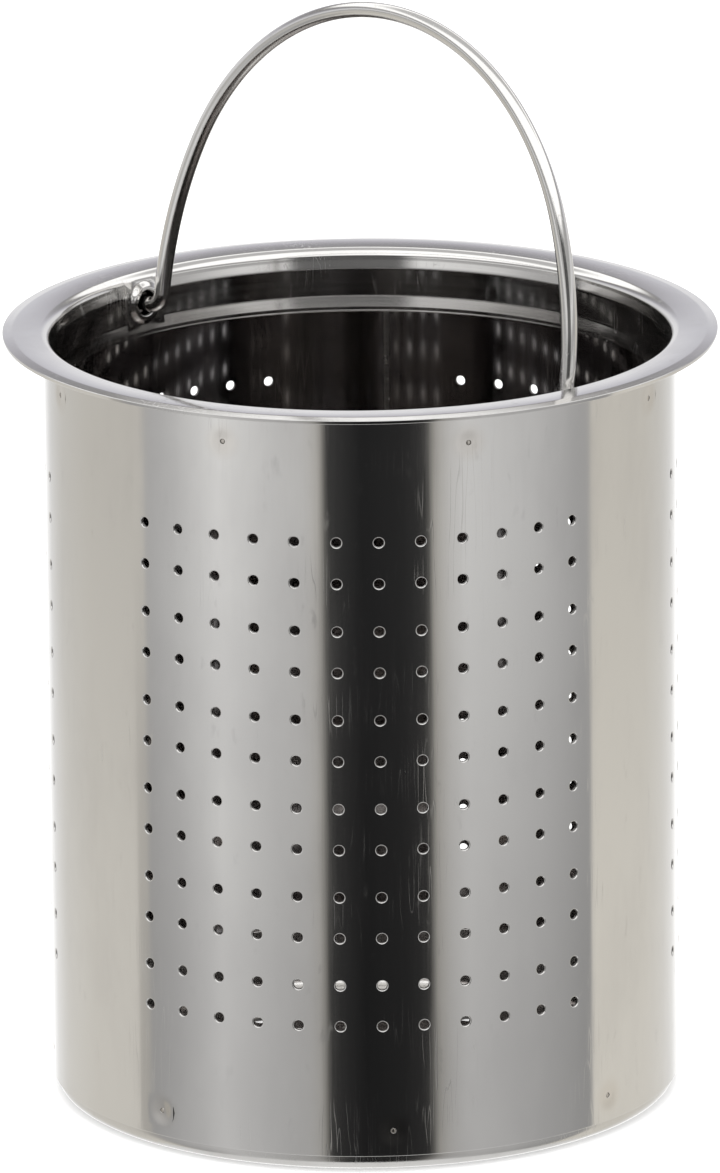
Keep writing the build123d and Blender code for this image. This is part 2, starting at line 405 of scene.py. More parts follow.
# %% Shell mesh
def draft_shell():
    """The rolled sheet, its holes, its dents and its rounded edges."""
    draft = Draft()
    hole = punched_hole(HOLE_R, 0.2, 0.05)
    windows = [((i, i + CELLS, j, j + CELLS), (azimuth, height), hole)
               for i, azimuth in hole_columns for j, height in hole_rows]
    windows += weld_windows(shell_lines, shell_stations, RIM_WELDS + BASE_WELDS)
    front, back = lay_sheet(draft, shell_face, 1, shell_lines, shell_stations, windows, closed=False,
                            back_finish=2)
    for direction, j in ((-1, 0), (1, -1)):
        round_edge(draft, shell_face, 1, shell_lines, shell_stations[j], front[:, j], back[:, j], direction,
                   EDGE_ROLL, closed=False)
    draft.strip(front[0], back[0])
    draft.strip(back[-1], front[-1])
    return draft


shell_draft = draft_shell()
print("shell points:", shell_draft.count)

# %% [markdown]
# ## The seam weld
# The rolled sheet's two edges are melted together in one narrow bead and ground flush on both sides. Even a
# good bead keeps a faint crown and the ripple of the travelling arc, and that is all that tells it from the
# sheet.


# %% Seam bead
BEAD_CROWN = 0.02
RIPPLE_HEIGHT = 0.012
RIPPLE_PITCH = 0.9


def draft_seam_bead():
    """A bead that fills the gap between the sheet's edges, with fine ripples on both faces."""
    draft = Draft()
    across = np.linspace(-1, 1, 7)
    heights = np.linspace(SHELL_BOTTOM_Z + 0.05, SHELL_TOP_Z - 0.05, 420)
    offset, height = np.meshgrid(across, heights, indexing="ij")
    turns = height / RIPPLE_PITCH + 0.35 * offset**2
    ripple = RIPPLE_HEIGHT * (1 - offset**2) * np.sin(2 * math.pi * turns)
    rows = []
    for radius, sign in ((SHELL_R - 0.015, 1), (SHELL_BORE_R + 0.01, -1)):
        azimuth = SEAM_AZIMUTH + offset * SEAM_WIDTH / 2 / SHELL_R
        surface = radius + sign * (BEAD_CROWN * (1 - offset**2) + ripple - 0.005)
        place = round_axis(surface, azimuth, height)
        du = np.gradient(place, axis=0)
        dv = np.gradient(place, axis=1)
        rows.append(draft.add(place, sign * unit(np.cross(du, dv))))
    front, back = rows
    draft.rings([front[:, j] for j in range(len(heights))])
    draft.rings([back[:, j] for j in range(len(heights))], flip=True)
    draft.strip(front[0], back[0])
    draft.strip(back[-1], front[-1])
    draft.strip(front[:, 0], back[:, 0], flip=True)
    draft.strip(front[:, -1], back[:, -1])
    return draft


seam_draft = draft_seam_bead()


# %% Weld discs
# each row of the section is a share of the disc's radius, a depth and a lean
DISC_SECTION = ((0.4, 0.05, -6), (0.75, 0.06, -15), (0.93, 0.08, -45), (1, 0.12, -90), (1, 0.48, -90),
                (0.9, 0.52, -180))
DISC_TOP = 0.045
DISC_BOTTOM = 0.52


def draft_weld_discs(welds):
    """The melted discs of one ring of welds, each a closed button in its opening."""
    draft = Draft()
    angles = full_circle(24)
    for centre in welds:
        rows = []
        for share, depth, lean in DISC_SECTION:
            radius = share * WELD_DISC_R
            rows.append(draft.add(*ring_round(shell_face, 1, centre, angles, radius, depth, lean)))
        place, normal, _ = face_frame(shell_face, np.array([centre[0]]), np.array([centre[1]]), 1)
        draft.rings(rows, closed=True, flip=True)
        top = draft.add(place - DISC_TOP * normal, normal)[0]
        bottom = draft.add(place - DISC_BOTTOM * normal, -normal)[0]
        draft.fan(top, rows[0])
        draft.fan(bottom, rows[-1], flip=True)
    return draft


rim_weld_draft = draft_weld_discs(RIM_WELDS)
base_weld_draft = draft_weld_discs(BASE_WELDS)

# %% [markdown]
# ## The profile of a spun part
# The rim and the pan are spun or pressed from a disc, so each is one profile turned about the axis. A
# profile is written as a list of straight runs and bends, the way a bender would call them out: how long,
# and how far the heading turns. Walking along the list gives radius, height and heading at every station.


# %% Profile walker
def walk_profile(start, heading, legs):
    """Stations, radii, heights and headings along a list of (length, turn in degrees). Heading 0 climbs, 90
    runs outwards."""
    fine = 0.02
    radius, height = start
    angle = math.radians(heading)
    rows = [(0.0, radius, height, angle)]
    for length, turn in legs:
        count = max(2, int(math.ceil(length / fine)))
        step = length / count
        change = math.radians(turn) / count
        for _ in range(count):
            middle = angle + change / 2
            radius += step * math.sin(middle)
            height += step * math.cos(middle)
            angle += change
            rows.append((rows[-1][0] + step, radius, height, angle))
    return np.array(rows)


def profile_place(profile, azimuth, station, inward=0.0):
    """A place on a turned profile, pushed in towards the axis by a given amount."""
    radius = np.interp(station, profile[:, 0], profile[:, 1]) - inward
    height = np.interp(station, profile[:, 0], profile[:, 2])
    return round_axis(radius, azimuth, height)


# %% [markdown]
# ## The rim collar
# The rim is one ring. Its collar goes down inside the shell, its flange lies out flat and carries the
# basket on the drain's ledge. Spinning leaves it a little curved everywhere: the collar's lower lip curls
# in, its upper end flares out before the bend, and the flange arches a little and then falls towards its
# sheared outer edge. All turns are in degrees. The lip ends in a fine bead, which is the line of light
# along its lower edge.

# %% Rim profile
CREST_R = 48.4
BEND_R = 1.6
RIM_EDGE_ROLL = 0.12
FLARE_TURN = 12.0
FLARE_EASE = 4.0
LIP_CURL = 10.4
LIP_BEAD = 8.0
CREST_HEADING = 85.0
FLANGE_RUN = FLANGE_R - RIM_EDGE_ROLL - CREST_R
FLANGE_ARCH = 4.1
FLANGE_KNEE = 0.3
FLANGE_TURN = 6.8
BEND_TURN = CREST_HEADING - FLARE_TURN + FLARE_EASE
collar_legs = [
    (0.25, 0),
    (0.15, -LIP_BEAD),
    (0.25, 0),
    (0.15, LIP_BEAD),
    (1.6, 0),
    (0.3, -LIP_CURL),
    (3.8, 0),
    (0.5, FLARE_TURN),
    (1.0, 0),
    (0.4, -FLARE_EASE),
]
bend_leg = (BEND_R * math.radians(BEND_TURN), BEND_TURN)
flange_legs = [
    (FLANGE_ARCH, 90.6 - CREST_HEADING),
    (FLANGE_KNEE, FLANGE_TURN),
    (FLANGE_RUN - FLANGE_ARCH - FLANGE_KNEE, 0.3),
]
rim_profile = walk_profile((0, 0), LIP_CURL, collar_legs + [bend_leg] + flange_legs)
crest = int(np.argmax(rim_profile[:, 2]))
rim_profile[:, 1] += FLANGE_R - RIM_EDGE_ROLL - rim_profile[-1, 1]
rim_profile[:, 2] += RIM_Z - rim_profile[crest, 2]
print("rim profile from", rim_profile[0, 1:3].round(2), "to", rim_profile[-1, 1:3].round(2),
      "narrowest at", rim_profile[:, 1].min().round(2))

# %% Pivot bosses
PIVOT_HOLE_R = 2.0
BOSS_RISE = 0.55
BOSS_RINGS = (3.5, 3.3, 3.1, 2.9, 2.75, 2.6, 2.45, 2.3)
BOSS_HALF_HEIGHT = 4.0
BOSS_HALF_TURN = math.radians(5)
PIVOT_STATION = float(np.interp(PIVOT_Z, rim_profile[:crest, 2], rim_profile[:crest, 0]))


def collar_face(azimuth, station):
    """Inside of the collar and top of the flange, pressed inwards round each pivot hole."""
    across = (np.mod(azimuth + math.pi / 2, math.pi) - math.pi / 2) * COLLAR_BORE_R
    distance = np.hypot(across, station - PIVOT_STATION)
    pressed = BOSS_RISE * smooth_drop(distance, 2.45, 3.5)
    rim_mark = nearest_weld(azimuth, station - PIVOT_STATION + PIVOT_Z, RIM_WELDS)
    pressed = pressed + 0.04 * smooth_drop(rim_mark, 0.3, 1.1)
    return profile_place(rim_profile, azimuth, station, inward=pressed)


def draft_rim_collar():
    """The rim with its two bosses and pivot holes."""
    draft = Draft()
    lines = np.radians(np.arange(360) - 20.0)
    first = EDGE_ROLL
    last = rim_profile[-1, 0]
    bend_start = sum(leg[0] for leg in collar_legs)
    bend_end = bend_start + bend_leg[0]
    low = PIVOT_STATION - BOSS_HALF_HEIGHT
    high = PIVOT_STATION + BOSS_HALF_HEIGHT
    marks = list(np.linspace(first, low, 22)[:-1]) + list(np.linspace(low, high, 33))
    marks += [value for value in np.linspace(bend_start, bend_end, 14) if value > high + 0.05]
    marks += list(np.linspace(bend_end, bend_end + FLANGE_ARCH, 15)[1:])
    marks += list(np.linspace(bend_end + FLANGE_ARCH, last, 12)[1:])
    stations = np.array(marks)
    windows = []
    for azimuth in (0.0, math.pi):
        i0 = index_near(lines, azimuth - BOSS_HALF_TURN)
        i1 = index_near(lines, azimuth + BOSS_HALF_TURN)
        window = (i0, i1, index_near(stations, low), index_near(stations, high))
        rings = [(radius, 0, 0) for radius in BOSS_RINGS]
        windows.append((window, (azimuth, PIVOT_STATION), rings + punched_hole(PIVOT_HOLE_R, 0.15, 0.05)))
    front, back = lay_sheet(draft, collar_face, -1, lines, stations, windows, closed=True)
    round_edge(draft, collar_face, -1, lines, first, front[:, 0], back[:, 0], -1, EDGE_ROLL, closed=True)
    round_edge(draft, collar_face, -1, lines, last, front[:, -1], back[:, -1], 1, RIM_EDGE_ROLL, closed=True)
    return draft


rim_draft = draft_rim_collar()
print("pivot station", round(PIVOT_STATION, 2), "rim points", rim_draft.count)

# %% [markdown]
# ## The base pan
# The pan closes the bottom. It is a shallow pressed dish: a flat floor with its own larger drain holes, a
# round corner that stands out below the shell, and a wall that fits inside the shell where the base welds
# hold it. The corner and wall are turned like the rim. The floor is filled between the holes with a flat
# triangulation.

# %% Base pan
PAN_CORNER_IN = 1.4
FLOOR_R = 38.0
FLOOR_HOLE_R = 1.5
FLOOR_RINGS = 4
FLOOR_PITCH = 8.0
PAN_CORNER_OUT = 2.0
PAN_WALL = 10.0
pan_legs = [
    (SHELL_BORE_R - PAN_CORNER_OUT - FLOOR_R, 0),
    (PAN_CORNER_IN * math.pi / 2, -90),
    (PAN_WALL - PAN_CORNER_OUT - EDGE_ROLL, 0),
]
pan_profile = walk_profile((FLOOR_R, SHEET), 90, pan_legs)


def pan_face(azimuth, station):
    """Inside of the pan, from the floor's border up the wall."""
    return profile_place(pan_profile, azimuth, station)


def floor_holes():
    """Centres of the floor's holes: one in the middle and rings of six, twelve and so on."""
    centres = [(0.0, 0.0)]
    for ring in range(1, FLOOR_RINGS + 1):
        for step in range(6 * ring):
            angle = 2 * math.pi * step / (6 * ring)
            centres.append((ring * FLOOR_PITCH * math.cos(angle), ring * FLOOR_PITCH * math.sin(angle)))
    return centres


def fill_floor(draft, border, edges, flip):
    """Triangles between the floor's border and the outer rings of its holes."""
    numbers = np.concatenate([border] + edges)
    points = np.concatenate(draft.points)[numbers]
    loops = []
    start = 0
    for row in [border] + edges:
        count = len(row)
        loops += [(start + k, start + (k + 1) % count) for k in range(count)]
        start += count
    found = delaunay_2d_cdt([Vector(point[:2]) for point in points], loops, [], 0, 1e-6)
    kept = []
    for triangle in found[2]:
        middle = sum((found[0][k] for k in triangle), Vector((0, 0))) / 3
        if all(math.hypot(middle.x - x, middle.y - y) > FLOOR_HOLE_R for x, y in floor_holes()):
            kept.append([int(numbers[found[3][k][0]]) for k in triangle])
    draft.fill(kept, flip)


def draft_base_pan():
    """The dished pan with its drain holes."""
    draft = Draft()
    lines = np.radians(np.arange(0, 360, 2.0))
    marks = [0.0, pan_legs[0][0]] + [pan_legs[0][0] + pan_legs[1][0] * k / 10 for k in range(1, 11)]
    marks += [pan_profile[-1, 0]]
    front, back = lay_sheet(draft, pan_face, -1, lines, np.array(marks), [], closed=True)
    round_edge(draft, pan_face, -1, lines, marks[-1], front[:, -1], back[:, -1], 1, EDGE_ROLL, closed=True)
    angles = full_circle(28)
    circle = round_axis(1.0, angles, 0 * angles)
    up = np.array([0, 0, 1.0])
    tops = []
    bottoms = []
    for x, y in floor_holes():
        rows = []
        for radius, depth, lean in punched_hole(FLOOR_HOLE_R, 0.15, 0.06):
            turn = math.radians(lean)
            place = np.array([x, y, SHEET - depth]) + radius * circle
            rows.append(draft.add(place, math.cos(turn) * up - math.sin(turn) * circle))
        draft.rings(rows[:4], closed=True)
        draft.rings(rows[3:], closed=True, finish=CUT_FINISH)
        tops.append(rows[0])
        bottoms.append(rows[-1])
    fill_floor(draft, front[:-1, 0], tops, flip=False)
    fill_floor(draft, back[:-1, 0], bottoms, flip=True)
    return draft


pan_draft = draft_base_pan()
print("pan points", pan_draft.count, "floor holes", len(floor_holes()))

# %% [markdown]
# ## The bail
# The bail is one length of round wire. Each end turns outwards through a small bend and stands loosely in a
# pivot hole, each side rises on a long arc, and a tighter arc joins them at the top. The wire leans back a
# little where it rests. A wire bent in one plane is easy to draft exactly: circles set square to a chain of
# arcs.

# %% Bail line
WIRE_R = 1.248
END_ROUND = 0.3
LEG_R = 43.2
HOOK_R = 2.0
SIDE_R = 65.4
BAIL_RISE = 52.6
STUB_END_R = 47.2
BAIL_LEAN = math.radians(8.4)
side_x = LEG_R - SIDE_R
crown_r = (SIDE_R**2 - side_x**2 - (BAIL_RISE - HOOK_R) ** 2) / (2 * (SIDE_R + HOOK_R - BAIL_RISE))
crown_y = BAIL_RISE - crown_r
join = math.atan2(crown_y - HOOK_R, -side_x)


def arc_points(centre, radius, start, sweep, count):
    """Points and headings along an arc in the bail's plane."""
    angles = start + sweep * np.linspace(0, 1, count)
    spokes = np.stack([np.cos(angles), np.sin(angles)], axis=-1)
    headings = np.stack([-np.sin(angles), np.cos(angles)], axis=-1) * np.sign(sweep)
    return np.array(centre) + radius * spokes, headings


def bail_line():
    """Half of the bail from its end to the top, then the mirror half."""
    stub = np.array([[x, 0.0] for x in np.linspace(STUB_END_R - END_ROUND, LEG_R + HOOK_R, 3)[:-1]])
    parts = [(stub, np.tile([-1.0, 0.0], (len(stub), 1)))]
    parts.append(arc_points((LEG_R + HOOK_R, HOOK_R), HOOK_R, -math.pi / 2, -math.pi / 2, 13))
    parts.append(arc_points((side_x, HOOK_R), SIDE_R, 0, join, 40))
    parts.append(arc_points((0, crown_y), crown_r, join, math.pi / 2 - join, 50))
    points = np.concatenate([part[0][(k > 1):] for k, part in enumerate(parts)])
    headings = np.concatenate([part[1][(k > 1):] for k, part in enumerate(parts)])
    mirror = np.array([-1.0, 1.0])
    points = np.concatenate([points, (points * mirror)[-2::-1]])
    headings = np.concatenate([headings, (headings * -mirror)[-2::-1]])
    return points, headings


def draft_bail():
    """The wire, swept along its line and leaned back, with rounded ends."""
    draft = Draft()
    points, headings = bail_line()
    angles = full_circle(32)
    lean_y = np.array([0, math.sin(BAIL_LEAN), math.cos(BAIL_LEAN)])
    lean_z = np.array([0, -math.cos(BAIL_LEAN), math.sin(BAIL_LEAN)])
    across = np.array([1.0, 0, 0])
    pivot = np.array([0, 0, PIVOT_Z])

    def in_space(pair):
        return pair[0] * across + pair[1] * lean_y

    rows = []
    ends = []
    for number, (point, heading) in enumerate(zip(points, headings)):
        centre = pivot + in_space(point)
        forward = in_space(heading)
        side = in_space((-heading[1], heading[0]))
        spokes = np.cos(angles)[:, None] * side + np.sin(angles)[:, None] * lean_z
        end = -1 if number == 0 else 1 if number == len(points) - 1 else 0
        cap = []
        for t in ((30, 60, 90) if end else ()):
            turn = math.radians(t)
            ring = centre + end * forward * END_ROUND * math.sin(turn)
            ring = ring + spokes * (WIRE_R - END_ROUND * (1 - math.cos(turn)))
            cap.append(draft.add(ring, spokes * math.cos(turn) + end * forward * math.sin(turn)))
        row = draft.add(centre + spokes * WIRE_R, spokes)
        if end:
            flat = draft.add(centre + end * forward * END_ROUND, end * forward)
            ends.append((int(flat), cap[-1], end))
        rows += cap[::-1] + [row] if end < 0 else [row] + cap
    draft.rings(rows, closed=True)
    for centre, row, end in ends:
        draft.fan(centre, row, flip=end < 0)
    return draft


bail_draft = draft_bail()
print("crown radius", round(crown_r, 2), "bail points", bail_draft.count)

# %% [markdown]
# ## Finishes
# All parts are stainless steel, so they share one metal and differ in how they were finished. Three effects
# come back in every finish, and each is a node group that is built once: lines left by polishing or
# turning, marks left by handling, and the slow waves of thin sheet. A group gives only masks, which the
# material then uses.

# %% Node helpers
def new_group(name, inputs, outputs):
    """An empty node group with named sockets."""
    group = bpy.data.node_groups.new(name, "ShaderNodeTree")
    for label, kind, value in inputs:
        socket = group.interface.new_socket(label, in_out="INPUT", socket_type=kind)
        if value is not None:
            socket.default_value = value
    for label in outputs:
        group.interface.new_socket(label, in_out="OUTPUT", socket_type="NodeSocketFloat")
    return group, group.nodes.new("NodeGroupInput"), group.nodes.new("NodeGroupOutput")


def feed(tree, socket, value):
    """Sets a socket to a value, or links it when the value is another socket."""
    if isinstance(value, (int, float, tuple)):
        socket.default_value = value
    else:
        tree.links.new(value, socket)


def math_node(tree, operation, first, second=None, third=None, clamp=False):
    """A math node fed with sockets or numbers; gives back its output."""
    node = tree.nodes.new("ShaderNodeMath")
    node.operation = operation
    node.use_clamp = clamp
    for number, value in enumerate((first, second, third)):
        if value is not None:
            feed(tree, node.inputs[number], value)
    return node.outputs[0]


def remap(tree, value, from_low, from_high, to_low, to_high, smooth=True):
    """A map range node."""
    node = tree.nodes.new("ShaderNodeMapRange")
    node.interpolation_type = "SMOOTHSTEP" if smooth else "LINEAR"
    tree.links.new(value, node.inputs["Value"])
    numbers = {"From Min": from_low, "From Max": from_high, "To Min": to_low, "To Max": to_high}
    for label, number in numbers.items():
        feed(tree, node.inputs[label], number)
    return node.outputs["Result"]


def noise(tree, vector, scale, detail=2.0, roughness=0.5, distortion=0.0):
    """A noise texture; gives back its value."""
    node = tree.nodes.new("ShaderNodeTexNoise")
    node.inputs["Scale"].default_value = scale
    node.inputs["Detail"].default_value = detail
    node.inputs["Roughness"].default_value = roughness
    node.inputs["Distortion"].default_value = distortion
    tree.links.new(vector, node.inputs["Vector"])
    return node.outputs["Fac"]


def stretched(tree, vector, scale, turn=(0, 0, 0)):
    """A vector turned and scaled, which stretches whatever pattern reads it."""
    node = tree.nodes.new("ShaderNodeMapping")
    node.inputs["Scale"].default_value = scale
    node.inputs["Rotation"].default_value = [math.radians(angle) for angle in turn]
    tree.links.new(vector, node.inputs["Vector"])
    return node.outputs["Vector"]


def distance_node(tree, first, second):
    """Length of the long side of a right angle, from its two short sides."""
    squares = [math_node(tree, "MULTIPLY", side, side) for side in (first, second)]
    return math_node(tree, "SQRT", math_node(tree, "ADD", *squares))


def by_direction(tree, vector):
    """Parts of a vector, its azimuth, and its azimuth as a share of the full turn."""
    parts = tree.nodes.new("ShaderNodeSeparateXYZ")
    tree.links.new(vector, parts.inputs[0])
    azimuth = math_node(tree, "ARCTAN2", parts.outputs[1], parts.outputs[0])
    return parts.outputs, azimuth, math_node(tree, "MULTIPLY_ADD", azimuth, 0.5 / math.pi, 0.5)


def empty_tree(owner, output):
    """The cleared node tree of a material or a world, and its new output."""
    owner.use_nodes = True
    tree = owner.node_tree
    tree.nodes.clear()
    return tree, tree.nodes.new(output).inputs["Surface"]


def grey(light):
    """A colour of equal red, green and blue."""
    return (light, light, light, 1)


def filled_ramp(tree, fac, stops, low, high):
    """A colour ramp over a range of angles; gives back its colour."""
    ramp = tree.nodes.new("ShaderNodeValToRGB")
    ramp.color_ramp.elements.remove(ramp.color_ramp.elements[0])
    for number, (angle, colour) in enumerate(stops):
        spot = (angle - low) / (high - low)
        stop = ramp.color_ramp.elements[0] if number == 0 else ramp.color_ramp.elements.new(spot)
        stop.position = spot
        stop.color = (*colour, 1) if isinstance(colour, tuple) else grey(colour)
    tree.links.new(fac, ramp.inputs["Fac"])
    return ramp.outputs["Color"]


def blend_colour(tree, factor, first, second, kind="MIX"):
    """Mixes or multiplies two colours, each a socket or a value."""
    mix = tree.nodes.new("ShaderNodeMix")
    mix.data_type = "RGBA"
    mix.blend_type = kind
    for label, value in (("Factor", factor), ("A", first), ("B", second)):
        feed(tree, mix.inputs[label], value)
    return mix.outputs["Result"]


# %% Shared effect: lines of polishing
def build_polish_lines():
    """Fine lines along the sheet and fine rings round it, each as a mask round one half."""
    group, inside, outside = new_group(
        "polish_lines", [("Vector", "NodeSocketVector", None)], ["Upright Lines", "Turned Lines"])
    upright = noise(group, stretched(group, inside.outputs["Vector"], (2600, 2600, 55)), 1.0, 3.0)
    parts = group.nodes.new("ShaderNodeSeparateXYZ")
    group.links.new(inside.outputs["Vector"], parts.inputs[0])
    spread = distance_node(group, parts.outputs[0], parts.outputs[1])
    along = math_node(group, "MULTIPLY", math_node(group, "ADD", spread, parts.outputs[2]), 2400.0)
    joined = group.nodes.new("ShaderNodeCombineXYZ")
    group.links.new(math_node(group, "MULTIPLY", parts.outputs[0], 26.0), joined.inputs[0])
    group.links.new(math_node(group, "MULTIPLY", parts.outputs[1], 26.0), joined.inputs[1])
    group.links.new(along, joined.inputs[2])
    turned = noise(group, joined.outputs[0], 1.0, 3.0)
    group.links.new(upright, outside.inputs["Upright Lines"])
    group.links.new(turned, outside.inputs["Turned Lines"])
    return group


# %% Shared effect: marks of handling
def build_handling_marks():
    """Hairline scratches at several slants, small scuffs and broad smudges."""
    group, inside, outside = new_group(
        "handling_marks", [("Vector", "NodeSocketVector", None)], ["Scratches", "Scuffs", "Smudges"])
    vector = inside.outputs["Vector"]
    total = None
    for turn, size in (((8, 4, 0), 1.0), ((-16, 9, 31), 0.8), ((34, -12, 67), 0.7), ((62, 21, 104), 0.55)):
        hair = noise(group, stretched(group, vector, (900 * size, 900 * size, 42 * size), turn), 1.0, 1.0)
        off_middle = math_node(group, "ABSOLUTE", math_node(group, "SUBTRACT", hair, 0.5))
        line = remap(group, off_middle, 0.0, 0.012, 1.0, 0.0)
        patch = noise(group, stretched(group, vector, (70, 70, 70), turn), 1.0, 1.0)
        line = math_node(group, "MULTIPLY", line, remap(group, patch, 0.58, 0.72, 0.0, 1.0))
        total = line if total is None else math_node(group, "MAXIMUM", total, line)
    scuff = noise(group, stretched(group, vector, (420, 420, 170)), 1.0, 3.0, 0.6)
    smudge = noise(group, stretched(group, vector, (55, 55, 26)), 1.0, 4.0, 0.62)
    group.links.new(total, outside.inputs["Scratches"])
    group.links.new(remap(group, scuff, 0.62, 0.78, 0.0, 1.0), outside.inputs["Scuffs"])
    group.links.new(remap(group, smudge, 0.38, 0.72, 0.0, 1.0), outside.inputs["Smudges"])
    return group


# %% Shared effect: waves of thin sheet
def build_sheet_waves():
    """Slow unevenness of rolled sheet, as a height round one half."""
    group, inside, outside = new_group("sheet_waves", [("Vector", "NodeSocketVector", None)], ["Height"])
    waves = noise(group, stretched(group, inside.outputs["Vector"], (60, 60, 22)), 1.0, 1.5, 0.45)
    group.links.new(waves, outside.inputs["Height"])
    return group


# %% Shared effect: heat of the spot welds
def build_weld_heat():
    """A soft halo round each weld of two rings, where the heat has tinted the steel."""
    group, inside, outside = new_group(
        "weld_heat",
        [("Vector", "NodeSocketVector", None), ("Reach", "NodeSocketFloat", 0.004)], ["Halo"])
    parts = group.nodes.new("ShaderNodeSeparateXYZ")
    group.links.new(inside.outputs["Vector"], parts.inputs[0])
    azimuth = math_node(group, "ARCTAN2", parts.outputs[1], parts.outputs[0])
    halo = None
    pitch = 2 * math.pi / WELDS_PER_RING
    for welds in (RIM_WELDS, BASE_WELDS):
        shifted = math_node(group, "SUBTRACT", azimuth, welds[0][0] - pitch / 2 - 2 * math.pi)
        across = math_node(group, "SUBTRACT", math_node(group, "MODULO", shifted, pitch), pitch / 2)
        across = math_node(group, "MULTIPLY", across, SHELL_R * MM)
        up = math_node(group, "SUBTRACT", parts.outputs[2], welds[0][1] * MM)
        near = remap(group, distance_node(group, across, up), 0.0009, inside.outputs["Reach"], 1.0, 0.0)
        halo = near if halo is None else math_node(group, "MAXIMUM", halo, near)
    group.links.new(halo, outside.inputs["Halo"])
    return group


POLISH_LINES = build_polish_lines()
HANDLING_MARKS = build_handling_marks()
SHEET_WAVES = build_sheet_waves()
WELD_HEAT = build_weld_heat()
print("shared effects:", len(bpy.data.node_groups))

# %% [markdown]
# ## One recipe for stainless steel
# Stainless steel is a grey metal with a slightly warm reflection. A finish is this metal with its own
# roughness and its own share of each effect. Scratches and scuffs scatter light, so they raise the
# roughness, and the bump bends the reflection a little where the surface isn't true.


# %% Steel recipe
def group_node(tree, group, vector, **values):
    """Places a shared effect in a material."""
    node = tree.nodes.new("ShaderNodeGroup")
    node.node_tree = group
    tree.links.new(vector, node.inputs["Vector"])
    for label, value in values.items():
        node.inputs[label].default_value = value
    return node


def steel(name, colour, dirt, rough, rough_marks, line_bump, waves, lines="Turned Lines", heat=0.0):
    """A stainless finish. lines names the direction of its polishing lines."""
    material = bpy.data.materials.new(name)
    tree, surface = empty_tree(material, "ShaderNodeOutputMaterial")
    shader = tree.nodes.new("ShaderNodeBsdfPrincipled")
    tree.links.new(shader.outputs[0], surface)
    place = tree.nodes.new("ShaderNodeTexCoord").outputs["Object"]
    polish = group_node(tree, POLISH_LINES, place).outputs[lines]
    marks = group_node(tree, HANDLING_MARKS, place)
    wave = group_node(tree, SHEET_WAVES, place).outputs["Height"]
    dirty = math_node(tree, "MULTIPLY", marks.outputs["Smudges"], 0.5)
    dirty = math_node(tree, "MULTIPLY_ADD", marks.outputs["Scuffs"], 0.35, dirty, clamp=True)
    tone = blend_colour(tree, dirty, (*colour, 1), (*dirt, 1))
    if heat:
        halo = group_node(tree, WELD_HEAT, place, Reach=0.0036).outputs["Halo"]
        tone = blend_colour(tree, math_node(tree, "MULTIPLY", halo, heat), tone, HEAT_TINT)
    tree.links.new(tone, shader.inputs["Base Color"])
    shader.inputs["Metallic"].default_value = 1.0
    grain = remap(tree, polish, 0.3, 0.7, rough * 0.85, rough * 1.2)
    scatter = grain
    for mark, share in (("Scratches", 1.0), ("Scuffs", 0.6), ("Smudges", 0.25)):
        scatter = math_node(tree, "MULTIPLY_ADD", marks.outputs[mark], rough_marks * share, scatter,
                            clamp=mark == "Smudges")
    tree.links.new(scatter, shader.inputs["Roughness"])
    height = math_node(tree, "MULTIPLY", polish, line_bump)
    height = math_node(tree, "MULTIPLY_ADD", wave, waves, height)
    height = math_node(tree, "MULTIPLY_ADD", marks.outputs["Scratches"], -SCRATCH_DEPTH, height)
    bump = tree.nodes.new("ShaderNodeBump")
    bump.inputs["Strength"].default_value = 1.0
    bump.inputs["Distance"].default_value = 0.001
    tree.links.new(height, bump.inputs["Height"])
    tree.links.new(bump.outputs["Normal"], shader.inputs["Normal"])
    return material


HEAT_TINT = (0.42, 0.33, 0.22, 1)
STEEL_TONE = (0.62, 0.61, 0.595)
STEEL_DULL = (0.54, 0.53, 0.52)
SCRATCH_DEPTH = 0.002
polished_sheet = steel("polished_sheet", STEEL_TONE, STEEL_DULL, 0.085, 0.16, 0.0006, 0.010,
                       "Upright Lines", heat=0.15)
ground_seam = steel("ground_seam", (0.58, 0.565, 0.54), (0.47, 0.44, 0.40), 0.20, 0.15, 0.0015, 0.004)
polished_rim = steel("polished_rim", STEEL_TONE, STEEL_DULL, 0.10, 0.18, 0.0007, 0.006)
weld_button = steel("weld_button", (0.53, 0.50, 0.46), (0.40, 0.36, 0.31), 0.24, 0.15, 0.002, 0.004)
satin_pan = steel("satin_pan", (0.60, 0.59, 0.575), (0.50, 0.49, 0.47), 0.17, 0.15, 0.001, 0.004)
# The walls of cut holes: a rough sheared surface, and a dark colour that is painted shade inside the holes
cut_wall_painted_shade = steel("cut_wall_painted_shade", (0.20, 0.195, 0.19), (0.12, 0.115, 0.11), 0.5, 0.1, 0.004, 0.004)
rolled_inside = steel("rolled_inside", (0.52, 0.50, 0.50), (0.36, 0.30, 0.25), 0.07, 0.10, 0.0004, 0.008,
                      "Upright Lines")
drawn_wire = steel("drawn_wire", (0.63, 0.62, 0.605), (0.52, 0.51, 0.49), 0.12, 0.18, 0.0008, 0.004,
                   "Upright Lines")

# %% [markdown]
# ## Assembling the basket
# Every draft becomes an object that rides on its body, the bail on one and the basket's parts on another.
# The object also takes the place of the CAD node that it details.

# %% Make the pieces
make_piece(shell_draft, "shell_sheet", "basket", "polished_sheet", "perforated_shell",
           polished_sheet, cut_wall_painted_shade, rolled_inside)
make_piece(seam_draft, "seam_bead", "basket", "seam_weld", "shell_seam_weld", ground_seam)
make_piece(rim_draft, "spun_rim", "basket", "polished_rim", "rim_collar", polished_rim, cut_wall_painted_shade)
make_piece(rim_weld_draft, "rim_weld_buttons", "basket", "spot_weld", "rim_spot_welds", weld_button)
make_piece(pan_draft, "dished_pan", "basket", "pan_sheet", "base_pan", satin_pan, cut_wall_painted_shade)
make_piece(base_weld_draft, "base_weld_buttons", "basket", "spot_weld", "base_spot_welds", weld_button)
make_piece(bail_draft, "bail_wire", "bail", "bail_wire", "bail_handle", drawn_wire)

